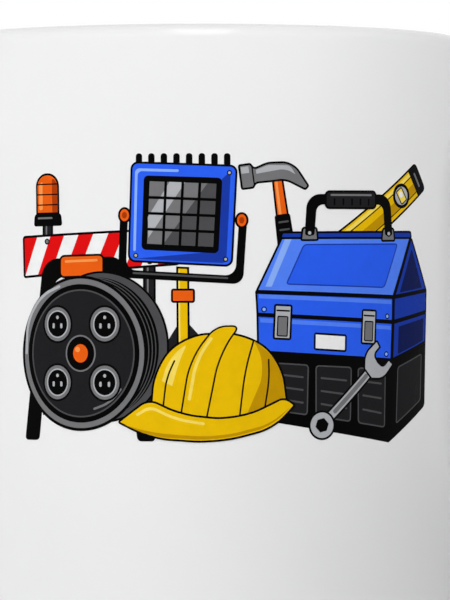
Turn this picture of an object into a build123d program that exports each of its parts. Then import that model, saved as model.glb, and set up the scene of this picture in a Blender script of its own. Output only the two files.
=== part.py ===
from build123d import *
import os
from math import atan2, cos, degrees, radians, sin, tan

# A straight-sided drinking mug of glazed stoneware, with a luted ear handle and a printed transfer.
# Three pieces, as the mug is made: the turned vessel, the cast handle that is stuck to its wall,
# and the thin transfer that carries the printed picture.
#
# Millimetres and degrees, +Z up. The origin is on the vessel's axis, in the plane it stands on.
# The handle is towards +X, and the printed side faces -Y.

# Vessel
outer_diameter = 82.0
height = 95.0
wall_thickness = 4.2
floor_height = 7.5  # the inside floor, above the table
floor_corner_radius = 7.0  # inside, from wall to floor

# Foot: the wall turns in on a round corner and runs on as a cone to the ring
foot_corner_radius = 5.0
foot_corner_turn = 60.0
foot_ring_inset = 5.5  # from the wall in to the flat, unglazed ring that it stands on
foot_ring_width = 3.2
foot_recess_depth = 1.5
foot_recess_draft_width = 1.0  # the recess narrows by this much on its way up

# Handle: two level arms, two round bends and a straight spine that leans in towards the foot
handle_reach = 34.0  # from the wall to the outside of the spine
handle_top_height = 77.0  # centre line of the upper arm
handle_bottom_height = 21.0  # centre line of the lower arm
handle_top_bend_radius = 15.0
handle_bottom_bend_radius = 20.0
handle_lean = 5.0
handle_width = 12.5  # across the oval section
handle_thickness = 8.0  # from the finger side to the outside
handle_face_radius = 10.0  # crown of the section's two broad faces

# Seats: slip wiped round each end of the handle, which spreads it in two steps to the wall
seat_height = 4.0  # how far the spread starts above the wall
seat_upper_length = 2.4
seat_upper_spread = 16.0
seat_lower_length = 2.8  # runs on past the wall's crest to its curve
seat_lower_spread = 44.0
seat_gap = 0.01  # what the ends stand clear of the wall

# Transfer
print_width = 69.0  # measured round the wall
print_height = 43.2
print_middle_height = 54.7  # above the table
print_thickness = 0.1
print_gap = 0.04  # what it stands clear of the wall

outer_radius = outer_diameter / 2
inner_radius = outer_radius - wall_thickness


def make_vessel():
    """Wall, full round lip, floor and foot, turned from one profile."""
    lip_radius = wall_thickness / 2
    lip_bottom = height - lip_radius
    corner_top = floor_height + floor_corner_radius
    floor_edge = inner_radius - floor_corner_radius
    foot_ring_outside = outer_radius - foot_ring_inset
    foot_ring_inside = foot_ring_outside - foot_ring_width
    turn = radians(foot_corner_turn)
    corner_end = outer_radius - foot_corner_radius * (1 - cos(turn))
    cone_height = (corner_end - foot_ring_outside) / tan(turn)
    corner_height = cone_height + foot_corner_radius * sin(turn)
    with BuildPart() as vessel:
        with BuildSketch(Plane.XZ):
            with BuildLine():
                Polyline(
                    (0, floor_height),
                    (0, foot_recess_depth),
                    (foot_ring_inside - foot_recess_draft_width, foot_recess_depth),
                    (foot_ring_inside, 0),
                    (foot_ring_outside, 0),
                    (corner_end, cone_height),
                )
                CenterArc(
                    (outer_radius - foot_corner_radius, corner_height),
                    foot_corner_radius,
                    -foot_corner_turn,
                    foot_corner_turn,
                )
                Line((outer_radius, corner_height), (outer_radius, lip_bottom))
                CenterArc((inner_radius + lip_radius, lip_bottom), lip_radius, 0, 180)
                Line((inner_radius, lip_bottom), (inner_radius, corner_top))
                CenterArc((floor_edge, corner_top), floor_corner_radius, 0, -90)
                Line((floor_edge, floor_height), (0, floor_height))
            make_face()
        revolve(axis=Axis.Z)
    return vessel.part


def handle_section(plane):
    """The handle's oval: two crowned faces joined by two tighter round sides."""
    half_width = handle_width / 2
    face_centre = handle_face_radius - handle_thickness / 2
    side_radius = (handle_face_radius**2 - face_centre**2 - half_width**2) / (
        2 * (handle_face_radius - half_width)
    )
    side_centre = half_width - side_radius
    face_half_angle = degrees(atan2(side_centre, face_centre))
    side_half_angle = 90 - face_half_angle
    with BuildSketch(plane) as section:
        with BuildLine():
            for middle, side in ((90, 1), (270, -1)):  # angle of the arc's middle, which side
                CenterArc(
                    (0, -side * face_centre),
                    handle_face_radius,
                    middle - face_half_angle,
                    2 * face_half_angle,
                )
                CenterArc(
                    (-side * side_centre, 0),
                    side_radius,
                    middle + 90 - side_half_angle,
                    2 * side_half_angle,
                )
        make_face()
    return section.sketch


def handle_path():
    """The ear's centre line, from inside the wall at the top back to inside the wall below."""
    top_turn = 90 + handle_lean
    bottom_turn = 90 - handle_lean
    top_drop = handle_top_bend_radius * (1 - cos(radians(top_turn)))
    bottom_drop = handle_bottom_bend_radius * (1 - cos(radians(bottom_turn)))
    spine_drop = handle_top_height - handle_bottom_height - top_drop - bottom_drop
    arm_end = outer_radius + handle_reach - handle_thickness / 2 - handle_top_bend_radius
    with BuildLine(Plane.XZ) as path:
        arm = Line((inner_radius, handle_top_height), (arm_end, handle_top_height))
        top_bend = JernArc(arm @ 1, arm % 1, handle_top_bend_radius, -top_turn)
        spine = PolarLine(
            top_bend @ 1, spine_drop, -top_turn, length_mode=LengthMode.VERTICAL
        )
        bottom_bend = JernArc(spine @ 1, spine % 1, handle_bottom_bend_radius, -bottom_turn)
        Line(bottom_bend @ 1, (inner_radius, handle_bottom_height))
    return path.line


def handle_seat(arm_height):
    """The slip that is wiped round one end: the arm's oval spreading in steps to the wall."""
    plane = Plane(
        (outer_radius + seat_height, 0, arm_height), x_dir=(0, 1, 0), z_dir=(-1, 0, 0)
    )
    upper = extrude(handle_section(plane), seat_upper_length, taper=-seat_upper_spread)
    wide_end = upper.faces().sort_by(Axis.X)[0]
    return upper + extrude(wide_end, seat_lower_length, taper=-seat_lower_spread)


def make_handle():
    """The oval swept round the ear, spread at both ends, and cut to the wall that carries it."""
    start = Plane((inner_radius, 0, handle_top_height), x_dir=(0, 1, 0), z_dir=(1, 0, 0))
    bar = sweep(handle_section(start), path=handle_path())
    seats = [handle_seat(handle_top_height), handle_seat(handle_bottom_height)]
    wall = Cylinder(
        outer_radius + seat_gap, height, align=(Align.CENTER, Align.CENTER, Align.MIN)
    )
    return bar + seats - wall


def make_transfer():
    """A thin sheet wrapped on the wall, centred on -Y."""
    inside = outer_radius + print_gap
    arc = degrees(print_width / inside)
    with BuildPart() as sheet:
        with BuildSketch(Plane.XZ):
            with Locations((inside, print_middle_height)):
                Rectangle(print_thickness, print_height, align=(Align.MIN, Align.CENTER))
        revolve(axis=Axis.Z, revolution_arc=arc)
    return Rot(0, 0, -90 - arc / 2) * sheet.part


pieces = {
    "mug_body": make_vessel(),
    "mug_handle": make_handle(),
    "print_transfer": make_transfer(),
}
os.makedirs("parts", exist_ok=True)
for name, piece in pieces.items():
    export_step(piece, f"parts/{name}.step")
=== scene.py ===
import bpy
import bmesh
from math import cos, floor, pi, radians, sin, sqrt, tan
from mathutils import Matrix, Vector


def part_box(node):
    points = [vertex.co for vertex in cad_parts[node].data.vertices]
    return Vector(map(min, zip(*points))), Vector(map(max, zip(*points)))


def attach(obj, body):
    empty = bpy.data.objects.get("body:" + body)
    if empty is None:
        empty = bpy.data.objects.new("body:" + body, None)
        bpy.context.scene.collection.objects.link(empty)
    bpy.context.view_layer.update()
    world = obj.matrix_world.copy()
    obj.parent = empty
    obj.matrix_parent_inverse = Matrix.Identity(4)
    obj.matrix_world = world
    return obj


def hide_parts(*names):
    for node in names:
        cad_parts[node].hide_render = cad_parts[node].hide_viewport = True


# A printed mug on a pale table, in metres. Every mesh is made where it stands.

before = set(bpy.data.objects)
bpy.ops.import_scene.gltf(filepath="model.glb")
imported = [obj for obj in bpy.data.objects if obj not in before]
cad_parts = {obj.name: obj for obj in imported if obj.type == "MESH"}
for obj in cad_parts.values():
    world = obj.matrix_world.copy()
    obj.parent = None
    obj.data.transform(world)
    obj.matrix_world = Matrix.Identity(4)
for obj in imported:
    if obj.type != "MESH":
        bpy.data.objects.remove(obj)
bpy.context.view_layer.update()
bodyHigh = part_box("mug_body")[1]
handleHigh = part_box("mug_handle")[1]
printLow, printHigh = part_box("print_transfer")
wallRadius = bodyHigh.x
mmPerMetre = 1000
print("frame loaded")


def newMaterial(name, sockets):
    material = bpy.data.materials.new(name)
    material.use_nodes = True
    nodes = material.node_tree.nodes
    nodes.clear()
    shader = nodes.new("ShaderNodeBsdfPrincipled")
    output = nodes.new("ShaderNodeOutputMaterial")
    material.node_tree.links.new(shader.outputs["BSDF"], output.inputs["Surface"])
    for socket, value in sockets.items():
        shader.inputs[socket].default_value = value
    return material, shader


def addNode(material, kind, inputs=None, **settings):
    node = material.node_tree.nodes.new("ShaderNode" + kind)
    for setting, value in settings.items():
        setattr(node, setting, value)
    for socket, value in (inputs or {}).items():
        if isinstance(value, bpy.types.NodeSocket):
            material.node_tree.links.new(value, node.inputs[socket])
        else:
            node.inputs[socket].default_value = value
    return node


def setInput(material, socket, value):
    material.node_tree.links.new(value, socket)


def noiseOn(material, scale, detail=3.0, roughness=0.5):
    place = addNode(material, "TexCoord").outputs["Object"]
    return addNode(
        material, "TexNoise", {"Vector": place, "Scale": scale, "Detail": detail, "Roughness": roughness}
    ).outputs["Fac"]


def remap(material, value, low, high, newLow, newHigh):
    return addNode(
        material, "MapRange",
        {"Value": value, "From Min": low, "From Max": high, "To Min": newLow, "To Max": newHigh},
    ).outputs["Result"]


def blendColours(material, factor, first, second):
    # a Mix node's sockets for colours come after those for numbers and vectors
    mix = addNode(material, "Mix", data_type="RGBA")
    for socket, value in ((mix.inputs[0], factor), (mix.inputs[6], first), (mix.inputs[7], second)):
        if isinstance(value, bpy.types.NodeSocket):
            material.node_tree.links.new(value, socket)
        else:
            socket.default_value = value
    return mix.outputs[2]


glaze = {
    "white": (0.868, 0.868, 0.868, 1),
    "shade": (0.846, 0.848, 0.850, 1),
    "refraction": 1.5,
    "specular": 0.5,
    "driftScale": 28.0,
    "driftBand": (0.35, 0.65),  # the part of the noise that goes from white to shade
    "glossScale": 160.0,
    "glossBand": (0.3, 0.7),
    "roughness": (0.07, 0.12),
    "waveScale": 55.0,
    "waveHeight": 0.00002,
    "waveStrength": 0.5,
    "pinholeScale": 900.0,
    "pinholeSize": 0.09,  # as a share of its cell
    "patchScale": 120.0,  # pinholes come in patches
    "patchBand": (0.56, 0.66),
    "pinholeDepth": 0.00002,
    "pinholeStrength": 0.25,
}


def makeGlaze():
    material, shader = newMaterial(
        "whiteGlaze", {"IOR": glaze["refraction"], "Specular IOR Level": glaze["specular"]}
    )
    drift = remap(material, noiseOn(material, glaze["driftScale"]), *glaze["driftBand"], 0, 1)
    colour = blendColours(material, drift, glaze["white"], glaze["shade"])
    setInput(material, shader.inputs["Base Color"], colour)
    gloss = noiseOn(material, glaze["glossScale"])
    roughness = remap(material, gloss, *glaze["glossBand"], *glaze["roughness"])
    setInput(material, shader.inputs["Roughness"], roughness)
    place = addNode(material, "TexCoord").outputs["Object"]
    cells = addNode(material, "TexVoronoi", {"Vector": place, "Scale": glaze["pinholeScale"]})
    pits = remap(material, cells.outputs["Distance"], 0.0, glaze["pinholeSize"], 0.0, 1.0)
    sound = remap(material, noiseOn(material, glaze["patchScale"]), *glaze["patchBand"], 1.0, 0.0)
    surface = addNode(material, "Math", {0: pits, 1: sound}, operation="MAXIMUM").outputs[0]
    swell = noiseOn(material, glaze["waveScale"], 1.0)
    wave = addNode(material, "Bump", {
        "Height": swell, "Distance": glaze["waveHeight"], "Strength": glaze["waveStrength"],
    }).outputs["Normal"]
    pinholes = addNode(material, "Bump", {
        "Height": surface, "Distance": glaze["pinholeDepth"], "Strength": glaze["pinholeStrength"],
        "Normal": wave,
    }).outputs["Normal"]
    setInput(material, shader.inputs["Normal"], pinholes)
    return material


bisque = {
    "pale": (0.70, 0.67, 0.62, 1),
    "rubbed": (0.40, 0.37, 0.33, 1),
    "specular": 0.25,
    "rubNoise": (220.0, 5.0, 0.65),  # scale, detail and roughness
    "rubBand": (0.5, 0.72),
    "mostRubbed": 0.7,
    "grainNoise": (1500.0, 4.0),
    "grainBand": (0.3, 0.7),
    "grainDepth": 0.00004,
    "grainStrength": 0.6,
    "roughness": (0.65, 0.9),
}


def makeBisque():
    material, shader = newMaterial("bareFootRing", {"Specular IOR Level": bisque["specular"]})
    grains = noiseOn(material, *bisque["grainNoise"])
    rubs = remap(
        material, noiseOn(material, *bisque["rubNoise"]), *bisque["rubBand"], 0, bisque["mostRubbed"]
    )
    colour = blendColours(material, rubs, bisque["pale"], bisque["rubbed"])
    setInput(material, shader.inputs["Base Color"], colour)
    roughness = remap(material, grains, *bisque["grainBand"], *bisque["roughness"])
    setInput(material, shader.inputs["Roughness"], roughness)
    rough = addNode(material, "Bump", {
        "Height": grains, "Distance": bisque["grainDepth"], "Strength": bisque["grainStrength"],
    })
    setInput(material, shader.inputs["Normal"], rough.outputs["Normal"])
    return material


glazeFinish = makeGlaze()
bisqueFinish = makeBisque()
print("finishes made")


def finishPiece(mesh, name, materials, nodes, sharpAngle=35):
    bmesh.ops.recalc_face_normals(mesh, faces=mesh.faces)
    data = bpy.data.meshes.new(name)
    mesh.to_mesh(data)
    mesh.free()
    data.shade_smooth()
    data.set_sharp_from_angle(angle=radians(sharpAngle))
    for material in materials:
        data.materials.append(material)
    piece = bpy.data.objects.new(name, data)
    bpy.context.scene.collection.objects.link(piece)
    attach(piece, "root")
    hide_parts(*nodes)
    return piece


vessel = {
    "wall": 0.0042,
    "floorTop": 0.0075,
    "floorRound": 0.007,
    "floorSteps": 14,
    "lipSteps": 14,
    "coneTop": 0.003175,  # where the wall and the 60 degree cone under it would meet
    "cornerCut": 0.002887,  # from there back to where the 5 mm rounding starts
    "cornerSteps": 12,
    "ringInset": 0.0055,
    "ringWidth": 0.0032,
    "ringRound": 0.00035,
    "ringSteps": 3,
    "bareShare": 0.7,  # how far up the ring's roundings the glaze is wiped off
    "recessDepth": 0.0015,
    "recessDraft": 0.001,
    "recessRound": 0.0007,
    "recessSteps": 4,
    "weld": 1e-7,
    "turns": 360,
}


def roundCorner(mesh, corners, size, segments):
    bmesh.ops.bevel(
        mesh, geom=corners, offset=size, offset_type="OFFSET", segments=segments,
        profile=0.5, affect="VERTICES", material=-1,
    )


def makeVessel():
    mesh = bmesh.new()
    inside = wallRadius - vessel["wall"]
    ringOutside = wallRadius - vessel["ringInset"]
    ringInside = ringOutside - vessel["ringWidth"]
    outline = [
        (0, vessel["floorTop"]),
        (inside, vessel["floorTop"]),
        (inside, bodyHigh.z),
        (wallRadius, bodyHigh.z),
        (wallRadius, vessel["coneTop"]),
        (ringOutside, 0),
        (ringInside, 0),
        (ringInside - vessel["recessDraft"], vessel["recessDepth"]),
        (0, vessel["recessDepth"]),
    ]
    points = [mesh.verts.new((x, 0, z)) for x, z in outline]
    for first, second in zip(points, points[1:]):
        mesh.edges.new((first, second))
    roundCorner(mesh, [points[1]], vessel["floorRound"], vessel["floorSteps"])
    roundCorner(mesh, [points[4]], vessel["cornerCut"], vessel["cornerSteps"])
    roundCorner(mesh, [points[5], points[6]], vessel["ringRound"], vessel["ringSteps"])
    roundCorner(mesh, [points[7]], vessel["recessRound"], vessel["recessSteps"])
    roundCorner(mesh, [points[2], points[3]], vessel["wall"] / 2, vessel["lipSteps"])
    bmesh.ops.remove_doubles(mesh, verts=mesh.verts, dist=vessel["weld"])
    bmesh.ops.spin(
        mesh, geom=mesh.verts[:] + mesh.edges[:], cent=(0, 0, 0), axis=(0, 0, 1),
        angle=2 * pi, steps=vessel["turns"], use_merge=True,
    )
    bmesh.ops.remove_doubles(mesh, verts=mesh.verts, dist=vessel["weld"])
    for face in mesh.faces:
        middle = face.calc_center_median()
        low = middle.z < vessel["ringRound"] * vessel["bareShare"]
        if low and middle.xy.length > ringInside - vessel["ringRound"]:
            face.material_index = 1
    return finishPiece(mesh, "mugVessel", [glazeFinish, bisqueFinish], ["mug_body"])


makeVessel()
print("vessel made")


handle = {
    "width": 0.0125,
    "thickness": 0.008,
    "topArm": 0.077,
    "bottomArm": 0.021,
    "topBend": 0.015,
    "bottomBend": 0.020,
    "lean": 5.0,
    "seatHeight": 0.004,
    "seatSpread": 0.0029,
    "seatSteps": 12,
    "sunk": 0.0008,
    "around": 64,
    "bendSteps": 40,
    "sharpAngle": 60,
}


def vertsOf(parts):
    return [part for part in parts if isinstance(part, bmesh.types.BMVert)]


def edgesOf(parts):
    return [part for part in parts if isinstance(part, bmesh.types.BMEdge)]


def growLoop(mesh, loop, step):
    grown = bmesh.ops.extrude_edge_only(mesh, edges=edgesOf(loop))["geom"]
    bmesh.ops.translate(mesh, verts=vertsOf(grown), vec=step)
    return grown


def bendLoop(mesh, loop, centre, angle):
    return bmesh.ops.spin(
        mesh, geom=vertsOf(loop) + edgesOf(loop), cent=centre, axis=(0, 1, 0),
        angle=radians(angle), steps=handle["bendSteps"],
    )["geom_last"]


def spreadSeat(mesh, loop, armHeight):
    # slip wiped from the arm out to the wall, on a quarter curve that ends on the wall itself
    halfWidth, halfThickness = handle["width"] / 2, handle["thickness"] / 2
    startX, spread = wallRadius + handle["seatHeight"], 0
    for step in range(1, handle["seatSteps"] + 1):
        turn = step / handle["seatSteps"] * pi / 2
        before, spread = spread, handle["seatSpread"] * (1 - cos(turn))
        loop = growLoop(mesh, loop, (0, 0, 0))
        wider = (halfWidth + spread) / (halfWidth + before)
        thicker = (halfThickness + spread) / (halfThickness + before)
        bmesh.ops.scale(
            mesh, verts=vertsOf(loop), vec=(1, wider, thicker), space=Matrix.Translation((0, 0, -armHeight))
        )
        reach = (halfWidth + handle["seatSpread"]) / (halfWidth + spread)
        for vert in vertsOf(loop):
            wallX = sqrt(wallRadius ** 2 - (vert.co.y * reach) ** 2)
            vert.co.x = startX + (wallX - startX) * sin(turn)
    loop = growLoop(mesh, loop, (-handle["sunk"], 0, 0))
    bmesh.ops.holes_fill(mesh, edges=edgesOf(loop))


def makeHandle():
    mesh = bmesh.new()
    lean = radians(handle["lean"])
    topBend, bottomBend = handle["topBend"], handle["bottomBend"]
    startX = wallRadius + handle["seatHeight"]
    armEnd = handleHigh.x - handle["thickness"] / 2 - topBend
    bendDrops = topBend * (1 + sin(lean)) + bottomBend * (1 - sin(lean))
    spineDrop = handle["topArm"] - handle["bottomArm"] - bendDrops
    # the oval stands across the arm, its width along y and its thickness along z
    standing = Matrix(((0, 0, 1, startX), (1, 0, 0, 0), (0, 1, 0, handle["topArm"]), (0, 0, 0, 1)))
    oval = Matrix.Diagonal((handle["width"] / 2, handle["thickness"] / 2, 1, 1))
    bmesh.ops.create_circle(mesh, segments=handle["around"], radius=1, matrix=standing @ oval)
    first = mesh.verts[:] + mesh.edges[:]
    loop = growLoop(mesh, first, (armEnd - startX, 0, 0))
    loop = bendLoop(mesh, loop, (armEnd, 0, handle["topArm"] - topBend), 90 + handle["lean"])
    loop = growLoop(mesh, loop, (-spineDrop * tan(lean), 0, -spineDrop))
    bottomX = armEnd + (topBend - bottomBend) * cos(lean) - spineDrop * tan(lean)
    loop = bendLoop(mesh, loop, (bottomX, 0, handle["bottomArm"] + bottomBend), 90 - handle["lean"])
    loop = growLoop(mesh, loop, (startX - bottomX, 0, 0))
    spreadSeat(mesh, loop, handle["bottomArm"])
    spreadSeat(mesh, first, handle["topArm"])
    return finishPiece(mesh, "mugHandle", [glazeFinish], ["mug_handle"], handle["sharpAngle"])


makeHandle()
print("handle made")


# The picture is drawn flat, in millimetres from the panel's middle: x round the wall, y up.
# Each patch lies on the patches before it that it overlaps, as layers of ink do.

inks = {
    "black": (1, 1, 1),
    "white": (243, 243, 243),
    "blue": (44, 97, 244),
    "lightBlue": (84, 132, 250),
    "skyBlue": (140, 178, 252),
    "darkBlue": (26, 58, 166),
    "nightBlue": (12, 26, 82),
    "yellow": (236, 190, 6),
    "lightYellow": (250, 222, 96),
    "darkYellow": (196, 148, 4),
    "orange": (236, 96, 18),
    "lightOrange": (250, 152, 76),
    "darkOrange": (172, 58, 8),
    "red": (226, 14, 16),
    "coal": (30, 30, 32),
    "darkGrey": (76, 76, 78),
    "grey": (118, 118, 120),
    "paleGrey": (178, 180, 184),
}

design = {
    "line": 0.32,
    "scale": 0.95,
    "firstInk": 0.02,  # height of the lowest ink above the wall
    "inkStep": 0.0044,
    "sunk": 0.05,
    "strip": 1.0,
    "cutTolerance": 1e-5,
    "sliver": 0.001,
    "weld": 0.04,
    "cornerRoom": 1.2,  # least rounding of a square corner, in widths of its outline
    "cornerSteps": 3,  # in a rounding, and as many more for each millimetre of it
    "ovalSteps": 16,  # in an oval, and the next number more for each millimetre of it
    "ovalStepsMore": 4,
    "strokeEnd": 0.45,  # rounding of a stroke's ends, as a share of its width
    "leastTurn": 0.3,  # keeps a stroke from spiking where it turns sharply
    "outward": 0.9,  # a face that looks out this squarely shades like the wall
    "lampAt": (-30.8, 12.2, 1),  # x, y and turn in degrees
    "levelAt": (24.6, 12.9, 34),
    "hammerAt": (6.2, 19.4, 8),
    "spannerAt": (19.0, -14.6, 43),
}

sheet = bmesh.new()
scratch = bpy.data.meshes.new("scratch")
laid = []


def layPatch(patch, fill, line, width, at):
    order = list(inks)
    for face in patch.faces:
        face.material_index = order.index(fill)
    patch.normal_update()
    if line:
        rims = bmesh.ops.inset_region(
            patch, faces=patch.faces[:], thickness=width or design["line"],
            use_even_offset=True, use_boundary=True,
        )["faces"]
        for face in rims:
            face.material_index = order.index(line)
        bmesh.ops.remove_doubles(patch, verts=patch.verts, dist=design["weld"])
    turn = Matrix.Rotation(radians(at[2]), 3, "Z")
    bmesh.ops.rotate(patch, verts=patch.verts, cent=(0, 0, 0), matrix=turn)
    bmesh.ops.translate(patch, verts=patch.verts, vec=(at[0], at[1], 0))
    xs, ys = [vert.co.x for vert in patch.verts], [vert.co.y for vert in patch.verts]
    low, high = (min(xs), min(ys)), (max(xs), max(ys))
    under = [
        layer for otherLow, otherHigh, layer in laid
        if low[0] < otherHigh[0] and otherLow[0] < high[0]
        and low[1] < otherHigh[1] and otherLow[1] < high[1]
    ]
    layer = max(under, default=-1) + 1
    laid.append((low, high, layer))
    lift = design["firstInk"] + design["inkStep"] * layer
    bmesh.ops.translate(patch, verts=patch.verts, vec=(0, 0, lift))
    patch.to_mesh(scratch)
    patch.free()
    sheet.from_mesh(scratch)


def roundingFor(corners, index, line):
    # no less than the outline needs to turn this corner without crossing itself
    if len(corners[index]) < 3:
        return 0
    places = (index, index - 1, (index + 1) % len(corners))
    here, before, after = (Vector(corners[place][:2]) for place in places)
    least = design["cornerRoom"] * line / tan((before - here).angle(after - here) / 2)
    return max(corners[index][2], least)


def shape(fill, corners, line="black", width=None, at=(0, 0, 0)):
    # a corner's third number is how far back along its sides the rounding starts
    patch = bmesh.new()
    points = [patch.verts.new((corner[0], corner[1], 0)) for corner in corners]
    patch.faces.new(points)
    outline = (width or design["line"]) if line else 0
    cuts = [roundingFor(corners, index, outline) for index in range(len(corners))]
    for cut in sorted(set(cuts) - {0}):
        rounded = [point for point, cutHere in zip(points, cuts) if cutHere == cut]
        roundCorner(patch, rounded, cut, design["cornerSteps"] + int(cut * design["cornerSteps"]))
    layPatch(patch, fill, line, width, at)


def panel(fill, low, high, rounding=None, **style):
    corners = [low, (high[0], low[1]), high, (low[0], high[1])]
    shape(fill, [(*corner, rounding) for corner in corners] if rounding else corners, **style)


def oval(fill, middle, size, tilt=0.0, line="black", width=None, at=(0, 0, 0)):
    patch = bmesh.new()
    place = (
        Matrix.Translation((middle[0], middle[1], 0)) @ Matrix.Rotation(radians(tilt), 4, "Z")
        @ Matrix.Diagonal((size[0] / 2, size[1] / 2, 1, 1))
    )
    steps = design["ovalSteps"] + design["ovalStepsMore"] * int(max(size))
    bmesh.ops.create_circle(patch, cap_ends=True, segments=steps, radius=1, matrix=place)
    layPatch(patch, fill, line, width, at)


def stroke(ink, points, width=0.3, at=(0, 0, 0)):
    # a band of even width along the points, with round ends
    path = [Vector(point[:2]) for point in points]
    left, right = [], []
    for index, point in enumerate(path):
        before, after = path[max(0, index - 1)], path[min(len(path) - 1, index + 1)]
        steps = [way.normalized() for way in (point - before, after - point) if way.length]
        along = sum(steps, Vector((0, 0))).normalized()
        across = Vector((-along.y, along.x)) * width / 2 / max(design["leastTurn"], along.dot(steps[0]))
        cut = tuple(points[index][2:]) or ((width * design["strokeEnd"],) if len(steps) == 1 else ())
        left.append((*(point + across), *cut))
        right.insert(0, (*(point - across), *cut))
    shape(ink, left + right, line=None, at=at)


def drawBarrier():
    low, high = (Vector((-35.6, 3.2)), Vector((-8.8, 5.2))), (Vector((-35.8, 9.8)), Vector((-9.0, 11.0)))
    for x in (-31.8, -14.6):
        shape("coal", [(x, 13.0, 0.4), (x + 2.0, 13.0, 0.4), (x + 2.1, -18.0), (x + 0.1, -18.0)])
        stroke("grey", [(x + 0.75, 12.2), (x + 0.85, -16.0)], 0.26)
    shape("red", [(*low[0], 0.5), (*low[1], 0.5), (*high[1], 0.5), (*high[0], 0.5)], width=0.38)
    lift = Vector((0, 0.37))
    for start in (0.06, 0.25, 0.44, 0.63, 0.82):
        shape("white", [
            low[0].lerp(low[1], start - 0.045) + lift, low[0].lerp(low[1], start + 0.05) + lift,
            high[0].lerp(high[1], start + 0.145) - lift, high[0].lerp(high[1], start + 0.05) - lift,
        ], line=None)
    for x, y in ((-30.9, 8.9), (-30.8, 4.5), (-13.6, 9.8), (-13.5, 5.8)):
        oval("grey", (x, y), (0.95, 0.95), width=0.2)


def drawLamp():
    at = design["lampAt"]
    shape("black", [(-2.7, -0.9, 0.4), (2.7, -0.9, 0.4), (2.5, 1.1, 0.6), (-2.5, 1.1, 0.6)], at=at)
    stroke("grey", [(-1.9, 0.35), (0.9, 0.35)], 0.28, at=at)
    shape("orange", [(-2.2, 0.9), (2.2, 0.9), (2.2, 7.3, 2.1), (-2.2, 7.3, 2.1)], at=at)
    shape("darkOrange", [(0.9, 1.2), (1.9, 1.2), (1.9, 5.9, 0.9), (0.9, 6.6, 0.5)], line=None, at=at)
    glow = [(-1.6, 1.6, 0.3), (-0.9, 1.6, 0.3), (-0.9, 6.1, 0.3), (-1.6, 5.5, 0.3)]
    shape("lightOrange", glow, line=None, at=at)
    for y in (2.4, 4.0, 5.6):
        stroke("black", [(-1.9, y), (1.9, y)], 0.2, at=at)


def drawWorkLight():
    for foot in ((-17.6, -19.0), (2.6, -16.0)):
        stroke("coal", [(-8.3, -4.0), foot], 1.5)
    shape("yellow", [(-9.4, 5.0), (-7.4, 4.9), (-7.3, -7.0), (-9.3, -7.0)])
    stroke("lightYellow", [(-8.95, 4.4), (-8.85, -6.6)], 0.26)
    panel("orange", (-10.2, -0.6), (-6.5, 1.6), 0.4)
    # yoke, then the lamp's housing with its cooling ribs
    stroke("black", [(-17.6, 12.8), (-17.9, 3.9, 1.6), (0.3, 2.9, 1.6), (0.9, 12.0)], 1.25)
    stroke("darkGrey", [(-16.2, 4.0), (-1.4, 3.2)], 0.3)
    for x in (-15.2, -13.25, -11.3, -9.35, -7.4, -5.45, -3.5, -1.55):
        stroke("black", [(x, 20.0), (x, 22.4)], 1.0)
    shape("blue", [(-17.0, 5.7, 1.2), (-0.7, 4.9, 1.2), (0.1, 20.6, 1.2), (-16.5, 21.2, 1.2)])
    shade = [(-15.9, 6.2), (-1.7, 5.5, 0.7), (-1.0, 19.6, 0.5), (-2.4, 18.4), (-3.0, 7.3)]
    shape("darkBlue", shade, line=None)
    stroke("skyBlue", [(-15.9, 7.4), (-15.6, 19.9, 0.7), (-9.0, 19.7)], 0.42)
    # glass behind a guard of wires
    shape("black", [(-14.8, 7.6, 0.7), (-2.9, 7.0, 0.7), (-2.3, 18.6, 0.7), (-14.4, 19.0, 0.7)])
    shape("grey", [(-13.9, 8.5), (-3.7, 8.0), (-3.2, 17.7), (-13.5, 18.1)], line=None)
    shape("darkGrey", [(-11.4, 8.4), (-3.7, 8.0), (-3.2, 17.7), (-4.6, 17.75)], line=None)
    shape("paleGrey", [(-13.8, 12.6), (-13.7, 9.4), (-8.0, 17.9), (-10.4, 18.0)], line=None)
    for share in (0.25, 0.5, 0.75):
        stroke("black", [(-14.0 + 10.3 * share, 7.8), (-13.6 + 10.5 * share, 18.2)], 0.42)
        stroke("black", [(-14.2, 8.3 + 9.8 * share), (-3.2, 7.8 + 9.9 * share)], 0.42)
    for x, y in ((-17.5, 12.9), (0.7, 12.1)):
        oval("orange", (x, y), (2.1, 2.5))
        oval("darkOrange", (x, y), (0.8, 1.0), line=None)
    for x, y in ((-15.7, 6.7), (-1.8, 6.1), (-1.2, 19.4)):
        oval("paleGrey", (x, y), (0.8, 0.8), width=0.18)


def drawLevel():
    at = design["levelAt"]
    shape("yellow", [(-13.0, -2.5), (11.6, -2.5, 0.7), (11.6, 2.5, 0.7), (-13.0, 2.5)], at=at)
    panel("darkYellow", (-12.0, -1.35), (9.4, 0.0), line=None, at=at)
    panel("lightYellow", (-12.0, 1.3), (9.4, 1.9), line=None, at=at)
    for y in (-1.5, 1.2):
        stroke("black", [(-12.6, y), (9.4, y)], 0.18, at=at)
    shape("black", [(9.3, -2.4, 0.2), (11.6, -2.4, 0.8), (11.6, 2.4, 0.8), (9.3, 2.4, 0.2)], at=at)
    stroke("grey", [(10.4, -1.3), (10.4, 1.3)], 0.35, at=at)
    # vial with its bubble
    oval("black", (5.8, 0.0), (3.9, 3.9), at=at)
    oval("paleGrey", (5.8, 0.0), (2.9, 2.9), line=None, at=at)
    panel("lightYellow", (5.0, -1.25), (6.6, 1.25), 0.3, width=0.2, at=at)
    oval("white", (5.8, 0.25), (0.9, 1.0), line=None, at=at)


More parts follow.
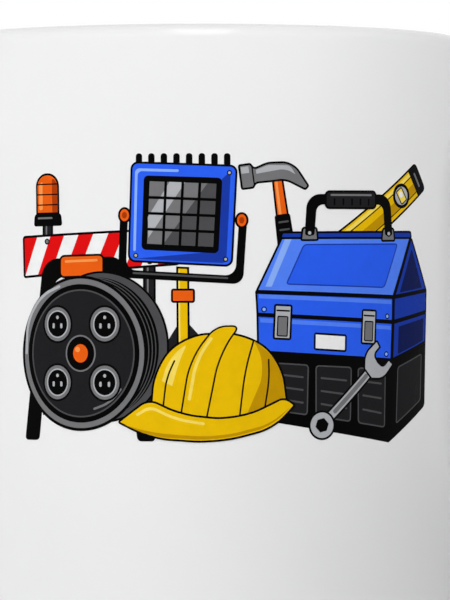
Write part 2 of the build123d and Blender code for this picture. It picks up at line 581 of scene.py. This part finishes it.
def drawHammer():
    at = design["hammerAt"]
    shape("orange", [(-0.9, 0.0), (0.9, 0.0), (1.3, -16.5), (-1.3, -16.5)], at=at)
    shape("lightOrange", [(-0.45, -0.6), (-0.05, -0.6), (-0.15, -15.0), (-0.65, -15.0)], line=None, at=at)
    shape("black", [(-1.25, -6.4, 0.4), (1.25, -6.4, 0.4), (1.6, -16.8), (-1.6, -16.8)], at=at)
    for y in (-7.6, -8.8, -10.0):
        stroke("darkGrey", [(-0.8, y), (0.9, y)], 0.3, at=at)
    shape("grey", [
        (-5.9, -1.9, 0.4), (-3.9, -1.9, 0.2), (-3.4, -1.2, 0.3), (-1.0, -1.3, 0.2), (1.2, -1.3, 0.9),
        (4.3, -3.3, 0.2), (5.1, -2.7, 0.3), (2.9, 1.5, 1.8), (-1.2, 1.9, 0.6), (-3.4, 1.3, 0.3),
        (-3.9, 2.1, 0.2), (-5.9, 2.1, 0.4),
    ], at=at)
    shine = [(-3.2, 0.3), (1.5, 0.5, 1.0), (3.0, -0.6), (2.3, 0.9, 0.6), (-1.2, 1.4, 0.4), (-3.2, 0.9)]
    shape("paleGrey", shine, line=None, at=at)
    panel("paleGrey", (-5.5, 0.6), (-4.3, 1.6), line=None, at=at)
    stroke("black", [(-3.75, -1.4), (-3.75, 1.6)], 0.22, at=at)


def drawToolboxSide():
    shape("black", [(26.5, -22.4), (35.4, -16.8, 0.5), (35.7, -6.8), (27.2, -9.6)])
    shape("darkBlue", [(27.2, -9.6), (35.7, -6.8), (35.9, -2.0), (27.5, -3.6)])
    shape("darkBlue", [(27.5, -3.6), (35.9, -2.0), (36.0, 1.4), (27.6, 0.3)])
    shape("darkBlue", [(27.6, 0.3), (36.0, 1.4), (31.8, 10.0, 0.4)])
    shape("nightBlue", [(28.6, -8.6), (34.9, -6.5), (35.1, -3.0), (28.8, -4.3)], line=None)
    shape("nightBlue", [(29.0, 1.0), (34.6, 1.8), (31.9, 7.9, 0.3)], line=None)
    recess = [(28.1, -19.6, 0.5), (34.3, -15.9, 0.5), (34.6, -8.5, 0.5), (28.5, -10.6, 0.5)]
    shape("coal", recess, line="darkGrey", width=0.2)


def drawToolboxBase():
    shape("black", [(3.4, -18.6, 0.5), (26.5, -22.4), (27.2, -9.6), (3.1, -8.2)])
    # three ribbed recesses: x, bottom and top at the left and the right of each
    recesses = (
        ((4.9, -17.1, -9.7), (11.3, -18.0, -10.1)),
        ((12.6, -18.2, -10.2), (18.9, -19.1, -10.5)),
        ((20.2, -19.3, -10.6), (25.7, -20.1, -10.9)),
    )
    for (left, leftBottom, leftTop), (right, rightBottom, rightTop) in recesses:
        shape("coal", [
            (left, leftBottom, 0.6), (right, rightBottom, 0.6),
            (right + 0.2, rightTop, 0.6), (left, leftTop, 0.6),
        ], line="darkGrey", width=0.22)
        for share in (0.25, 0.5, 0.75):
            leftY = leftBottom + (leftTop - leftBottom) * share
            rightY = rightBottom + (rightTop - rightBottom) * share
            stroke("darkGrey", [(left + 0.9, leftY), (right - 0.7, rightY)], 0.3)


def drawToolboxTop():
    shape("blue", [(3.1, -8.2), (27.2, -9.6), (27.5, -3.6), (3.0, -2.4)])
    shape("lightBlue", [(3.6, -3.6), (27.0, -4.8), (27.0, -4.2), (3.6, -2.95)], line=None)
    shape("blue", [(3.0, -2.4), (27.5, -3.6), (27.6, 0.3), (2.8, 1.1)])
    shape("lightBlue", [(3.4, 0.1), (27.1, -0.8), (27.1, -0.2), (3.4, 0.75)], line=None)
    # lid
    shape("lightBlue", [(2.8, 1.1), (27.6, 0.3), (31.8, 10.0), (7.0, 9.7)])
    pressing = [(7.6, 2.2, 0.6), (25.6, 1.7, 0.6), (28.6, 8.7, 0.6), (10.6, 8.5, 0.6)]
    shape("blue", pressing, line="darkBlue", width=0.2)
    shape("skyBlue", [(4.4, 1.9), (5.4, 1.9), (8.6, 9.2), (7.5, 9.2)], line=None)
    shape("darkBlue", [(6.6, 9.2, 0.2), (32.0, 9.4, 0.2), (31.7, 10.7, 0.3), (7.0, 10.4, 0.3)])
    # blank plate, catches and rivets
    shape("white", [(12.3, -7.9, 0.2), (18.1, -8.25, 0.2), (18.15, -5.5, 0.2), (12.35, -5.15, 0.2)])
    for x, y in ((7.2, -2.9), (22.4, -3.7)):
        at = (x, y, -2.5)
        panel("paleGrey", (-1.5, -3.4), (1.5, 2.1), 0.3, at=at)
        panel("grey", (-0.9, -2.9), (0.9, 0.3), 0.2, width=0.2, at=at)
        stroke("black", [(-1.1, 1.1), (1.1, 1.1)], 0.26, at=at)
    for x, y in ((26.0, -8.6), (4.2, -1.6), (26.2, -2.7)):
        oval("skyBlue", (x, y), (0.9, 0.9), width=0.18)


def drawGrip():
    for x in (11.6, 26.4):
        lug = [(x - 1.6, 8.9, 0.3), (x + 1.6, 8.95, 0.3), (x + 1.3, 11.2, 0.5), (x - 1.3, 11.15, 0.5)]
        shape("grey", lug)
    shape("black", [
        (10.8, 9.8, 0.3), (11.2, 16.2, 2.2), (26.8, 16.3, 2.2), (27.3, 9.9, 0.3), (25.7, 9.9, 0.3),
        (25.3, 14.7, 1.1), (12.8, 14.6, 1.1), (12.4, 9.8, 0.3),
    ])
    shape("coal", [(14.2, 13.9, 0.8), (23.9, 13.95, 0.8), (23.9, 16.9, 0.8), (14.2, 16.8, 0.8)])
    stroke("grey", [(15.2, 16.1), (22.9, 16.15)], 0.3)
    for x in (15.9, 17.5, 19.1, 20.7, 22.3):
        stroke("black", [(x, 14.5), (x, 15.6)], 0.3)
    for x in (11.6, 26.5):
        oval("paleGrey", (x, 10.2), (1.0, 1.0), width=0.22)


def drawReel():
    # carrying frame with its grip
    shape("black", [
        (-35.2, -21.9, 0.6), (-32.4, -21.9, 0.6), (-29.6, 3.4, 2.0), (-19.2, 3.8, 2.0),
        (-15.4, -21.9, 0.6), (-12.6, -21.9, 0.6), (-17.4, 6.6, 2.6), (-31.6, 6.2, 2.6),
    ])
    shape("orange", [(-28.6, 3.2, 0.9), (-20.8, 3.4, 0.9), (-20.8, 7.0, 0.9), (-28.6, 6.8, 0.9)])
    stroke("lightOrange", [(-27.6, 5.8), (-21.9, 6.0)], 0.4)
    # far flange, turns of cable, near flange
    oval("darkGrey", (-21.2, -7.4), (21.4, 23.4))
    for share in (1.0, 0.75, 0.5, 0.25, 0.0):
        turn = (-24.2 + 2.2 * share, -8.2 + 0.6 * share)
        oval("black", turn, (20.2, 22.2), line="darkGrey", width=0.16)
    hub = (-24.8, -8.4)
    oval("grey", hub, (21.8, 24.0), width=0.45)
    oval("black", hub, (19.4, 21.4), width=0.26)
    oval("coal", hub, (17.9, 19.8), line="darkGrey", width=0.24)
    stroke("paleGrey", [(-34.9, -8.6), (-34.7, -3.4, 1.9), (-31.9, 0.6, 1.8), (-28.4, 2.0)], 0.42)
    stroke("grey", [(-22.6, -17.0), (-19.8, -16.0, 1.4), (-18.0, -13.8)], 0.34)
    # sockets
    for x, y in ((-28.9, -3.9), (-20.7, -3.9), (-20.7, -12.9), (-28.9, -12.9)):
        oval("grey", (x, y), (5.4, 5.9))
        oval("black", (x, y), (3.9, 4.3), line="paleGrey", width=0.2)
        for side in (-0.7, 0.7):
            stroke("paleGrey", [(x + side, y - 0.65), (x + side, y + 0.15)], 0.4)
        oval("paleGrey", (x, y + 1.05), (0.5, 0.55), line=None)
    oval("black", hub, (5.2, 5.7), line="grey", width=0.24)
    oval("orange", hub, (3.0, 3.3), width=0.22)
    oval("lightOrange", (-25.3, -7.8), (0.85, 0.85), line=None)


def drawHat():
    shape("yellow", [
        (-13.4, -16.4), (-12.9, -10.4, 3.4), (-8.2, -5.4, 3.4), (1.4, -4.9, 3.8), (7.1, -9.4, 3.4),
        (8.0, -16.0), (0.0, -19.2, 5.0), (-9.0, -18.8, 4.0),
    ])
    shade = [(1.2, -18.4), (7.6, -15.9), (6.8, -9.7, 3.0), (2.6, -6.4), (4.6, -10.6, 3.0)]
    shape("darkYellow", shade, line=None)
    shine = [(-11.6, -12.6), (-10.6, -9.2, 2.0), (-7.6, -6.7, 1.0), (-8.8, -9.2, 2.0), (-10.0, -13.4)]
    shape("lightYellow", shine, line=None)
    # raised ribs over the crown
    shape("yellow", [
        (-8.8, -17.9), (-7.4, -9.2, 3.2), (-3.4, -4.1, 1.6), (0.6, -4.0, 1.4), (-2.6, -8.4, 3.2),
        (-4.6, -18.4),
    ], width=0.26)
    stroke("lightYellow", [(-7.4, -15.6), (-6.3, -9.4, 2.2), (-3.9, -5.9)], 0.5)
    stroke("black", [(0.3, -18.7), (1.2, -11.0, 2.5), (2.6, -6.2)], 0.26)
    stroke("black", [(4.2, -17.4), (5.0, -12.4, 1.5), (4.9, -9.2)], 0.26)
    stroke("black", [(-11.4, -16.6), (-10.9, -12.2, 1.6), (-9.6, -9.4)], 0.26)
    # brim
    shape("yellow", [
        (-18.8, -19.0, 0.6), (-13.7, -15.2, 1.6), (-8.6, -17.6, 2.5), (0.0, -18.5, 4.0), (7.4, -15.0, 1.0),
        (9.4, -16.3, 0.6), (5.8, -20.0, 2.5), (-3.0, -22.3, 4.0), (-13.4, -21.6, 3.0),
    ])
    shape("darkYellow", [
        (-17.4, -19.4), (-13.0, -20.6, 2.4), (-3.0, -21.3, 3.6), (5.2, -19.2, 2.0), (8.4, -16.6),
        (5.4, -19.6, 2.4), (-3.0, -21.8, 3.8), (-13.2, -21.2, 2.6),
    ], line=None)
    stroke("lightYellow", [(-15.6, -17.9), (-13.4, -16.6, 1.0), (-9.4, -18.5, 1.8), (-5.0, -19.2)], 0.45)


def drawSpanner():
    at = design["spannerAt"]
    panel("paleGrey", (-6.0, -0.95), (5.4, 0.95), at=at)
    panel("grey", (-4.4, -0.35), (4.2, 0.35), 0.3, line=None, at=at)
    shape("paleGrey", [
        (4.2, -1.1), (6.0, -2.9, 1.2), (9.4, -2.7, 0.5), (9.1, -1.2), (7.4, -1.2, 0.5), (7.2, 0.0),
        (7.4, 1.2, 0.5), (9.1, 1.2), (9.4, 2.7, 0.5), (6.0, 2.9, 1.2), (4.2, 1.1),
    ], at=at)
    oval("paleGrey", (-7.2, 0.0), (4.6, 4.6), at=at)
    nut = [(-8.2, -0.6), (-7.2, -1.15), (-6.2, -0.6), (-6.2, 0.6), (-7.2, 1.15), (-8.2, 0.6)]
    shape("black", nut, line=None, at=at)


drawBarrier()
drawLamp()
drawWorkLight()
drawLevel()
drawHammer()
drawToolboxSide()
drawToolboxBase()
drawToolboxTop()
drawGrip()
drawReel()
drawHat()
drawSpanner()
print(len(laid), "patches drawn")


inkCoat = {
    "refraction": 1.45,
    "specular": 0.04,
    "thinning": 0.93,  # how bright the ink is where it lies thin
    "grainNoise": (420.0, 4.0, 0.6),  # scale, detail and roughness
    "grainBand": (0.35, 0.7),
    "sheenScale": 90.0,
    "sheenBand": (0.3, 0.7),
    "roughness": (0.24, 0.34),
}


def linearFrom(share):
    # from a screen's value to the light that it stands for
    return ((share + 0.055) / 1.055) ** 2.4 if share > 0.04 else share / 12.92


def makeInk(name, screenColour):
    material, shader = newMaterial("ink" + name[0].upper() + name[1:], {
        "IOR": inkCoat["refraction"], "Specular IOR Level": inkCoat["specular"],
    })
    plain = [linearFrom(part / 255) for part in screenColour]
    thin = [part * inkCoat["thinning"] for part in plain]
    grain = remap(material, noiseOn(material, *inkCoat["grainNoise"]), *inkCoat["grainBand"], 0, 1)
    setInput(material, shader.inputs["Base Color"], blendColours(material, grain, (*plain, 1), (*thin, 1)))
    sheen = noiseOn(material, inkCoat["sheenScale"])
    roughness = remap(material, sheen, *inkCoat["sheenBand"], *inkCoat["roughness"])
    setInput(material, shader.inputs["Roughness"], roughness)
    return material


def pointOnWall(u, height):
    turn = u / mmPerMetre / wallRadius
    return Vector((sin(turn), -cos(turn), 0)) * (wallRadius + height / mmPerMetre)


def makePrint():
    strip, middle = design["strip"], (printLow.z + printHigh.z) / 2
    bmesh.ops.scale(sheet, verts=sheet.verts, vec=(design["scale"], design["scale"], 1))
    bmesh.ops.triangulate(sheet, faces=sheet.faces)
    edge = max(abs(vert.co.x) for vert in sheet.verts)
    for step in range(-int(edge / strip), int(edge / strip) + 1):
        bmesh.ops.bisect_plane(
            sheet, geom=sheet.verts[:] + sheet.edges[:] + sheet.faces[:], dist=design["cutTolerance"],
            plane_co=(step * strip, 0, 0), plane_no=(1, 0, 0),
        )
    bmesh.ops.dissolve_degenerate(sheet, dist=design["sliver"], edges=sheet.edges)
    bmesh.ops.triangulate(sheet, faces=sheet.faces)
    under = bmesh.ops.extrude_face_region(sheet, geom=sheet.faces[:], use_keep_orig=True)["geom"]
    bmesh.ops.scale(sheet, verts=vertsOf(under), vec=(1, 1, 0))
    bmesh.ops.translate(sheet, verts=vertsOf(under), vec=(0, 0, -design["sunk"]))
    for vert in sheet.verts:
        # straight across each strip, so that every layer stays parallel to the ones below it
        first = floor(vert.co.x / strip) * strip
        share = (vert.co.x - first) / strip
        place = pointOnWall(first, vert.co.z).lerp(pointOnWall(first + strip, vert.co.z), share)
        vert.co = place + Vector((0, 0, middle + vert.co.y / mmPerMetre))
    inkFinishes = [makeInk(name, colour) for name, colour in inks.items()]
    piece = finishPiece(sheet, "printedDesign", inkFinishes, ["print_transfer"])
    data = piece.data
    outward = []
    for face in data.polygons:
        for corner in face.vertices:
            radial = Vector((*data.vertices[corner].co.xy, 0)).normalized()
            outward.append(radial if face.normal.dot(radial) > design["outward"] else face.normal)
    data.normals_split_custom_set(outward)


makePrint()
bpy.data.meshes.remove(scratch)
print("design printed")


stage = {
    "floorRadius": 3.0,
    "floorSteps": 96,
    "footClearance": 0.00005,
    "floor": (0.80, 0.80, 0.80, 1),
    "floorRoughness": 0.6,
    "floorSpecular": 0.2,
    "fadeFrom": 0.25,  # the table turns plain white between these distances
    "fadeTo": 0.9,
    "ambient": 0.487,
    "azimuth": -7.4,
    "distance": 0.70,
    "eyeHeight": 0.05455,
    "aside": 0.0035,
    "lens": 271.0,
    "clipStart": 0.01,
}

lamps = {  # azimuth from the camera's own, elevation, distance, width and height, power
    "keyLight": (-37, 22, 0.75, (0.63, 0.31), 2.69),
    "sideFill": (45, 30, 0.15, (0.06, 0.06), 0.0272),
    "glintLight": (0.4, 50, 1.31, (0.46, 1.2), 4.3),
}


def seenDirectly(tree):
    paths = tree.nodes.new("ShaderNodeLightPath").outputs
    seen = paths["Is Camera Ray"]
    for kind in ("Is Glossy Ray", "Is Transmission Ray"):
        either = tree.nodes.new("ShaderNodeMath")
        either.operation = "MAXIMUM"
        tree.links.new(seen, either.inputs[0])
        tree.links.new(paths[kind], either.inputs[1])
        seen = either.outputs[0]
    return seen


def makeFloor():
    mesh = bmesh.new()
    bmesh.ops.create_circle(
        mesh, cap_ends=True, segments=stage["floorSteps"], radius=stage["floorRadius"],
        matrix=Matrix.Translation((0, 0, -stage["footClearance"])),
    )
    data = bpy.data.meshes.new("floor")
    mesh.to_mesh(data)
    mesh.free()
    table = bpy.data.objects.new("floor", data)
    bpy.context.scene.collection.objects.link(table)
    material, shader = newMaterial("paleFloor", {
        "Base Color": stage["floor"], "Roughness": stage["floorRoughness"],
        "Specular IOR Level": stage["floorSpecular"],
    })
    place = addNode(material, "TexCoord").outputs["Object"]
    away = addNode(material, "VectorMath", {0: place}, operation="LENGTH").outputs["Value"]
    fade = remap(material, away, stage["fadeFrom"], stage["fadeTo"], 0.0, 1.0)
    seen = seenDirectly(material.node_tree)
    shown = addNode(material, "Math", {0: fade, 1: seen}, operation="MULTIPLY").outputs[0]
    white = addNode(material, "Emission", {"Color": (1, 1, 1, 1), "Strength": 1.0}).outputs["Emission"]
    mix = addNode(material, "MixShader", {0: shown, 1: shader.outputs["BSDF"], 2: white}).outputs["Shader"]
    setInput(material, material.node_tree.nodes["Material Output"].inputs["Surface"], mix)
    data.materials.append(material)


def makeCamera():
    data = bpy.data.cameras.new("camera")
    camera = bpy.data.objects.new("camera", data)
    bpy.context.scene.collection.objects.link(camera)
    data.lens = stage["lens"]
    data.clip_start = stage["clipStart"]
    turn = radians(stage["azimuth"])
    camera.rotation_euler = (pi / 2, 0, turn)
    away = Vector((sin(turn), -cos(turn), 0)) * stage["distance"]
    aside = Vector((cos(turn), sin(turn), 0)) * stage["aside"]
    camera.location = away + aside + Vector((0, 0, stage["eyeHeight"]))
    bpy.context.scene.camera = camera


def makeSoftbox(name, azimuth, elevation, distance, size, power):
    data = bpy.data.lights.new(name, "AREA")
    data.shape = "RECTANGLE"
    data.size, data.size_y = size
    data.energy = power
    lamp = bpy.data.objects.new(name, data)
    bpy.context.scene.collection.objects.link(lamp)
    turn, rise = radians(stage["azimuth"] + azimuth), radians(elevation)
    towards = Vector((sin(turn) * cos(rise), -cos(turn) * cos(rise), sin(rise)))
    lamp.location = Vector((0, 0, bodyHigh.z / 2)) + towards * distance
    lamp.rotation_mode = "QUATERNION"
    lamp.rotation_quaternion = towards.to_track_quat("Z", "Y")
    lamp.visible_camera = False
    # one lamp makes the lip's bright spot and the other two light the walls
    lamp.visible_glossy = name == "glintLight"
    lamp.visible_diffuse = name != "glintLight"


def makeWorld():
    world = bpy.data.worlds.new("studio")
    bpy.context.scene.world = world
    world.use_nodes = True
    tree = world.node_tree
    level = tree.nodes.new("ShaderNodeMapRange")
    tree.links.new(seenDirectly(tree), level.inputs["Value"])
    level.inputs["To Min"].default_value = stage["ambient"]
    level.inputs["To Max"].default_value = 1.0
    background = tree.nodes["Background"]
    background.inputs["Color"].default_value = (1, 1, 1, 1)
    tree.links.new(level.outputs["Result"], background.inputs["Strength"])


makeFloor()
makeCamera()
makeWorld()
for name, settings in lamps.items():
    makeSoftbox(name, *settings)
bpy.context.scene.view_settings.view_transform = "Standard"
print("stage set")
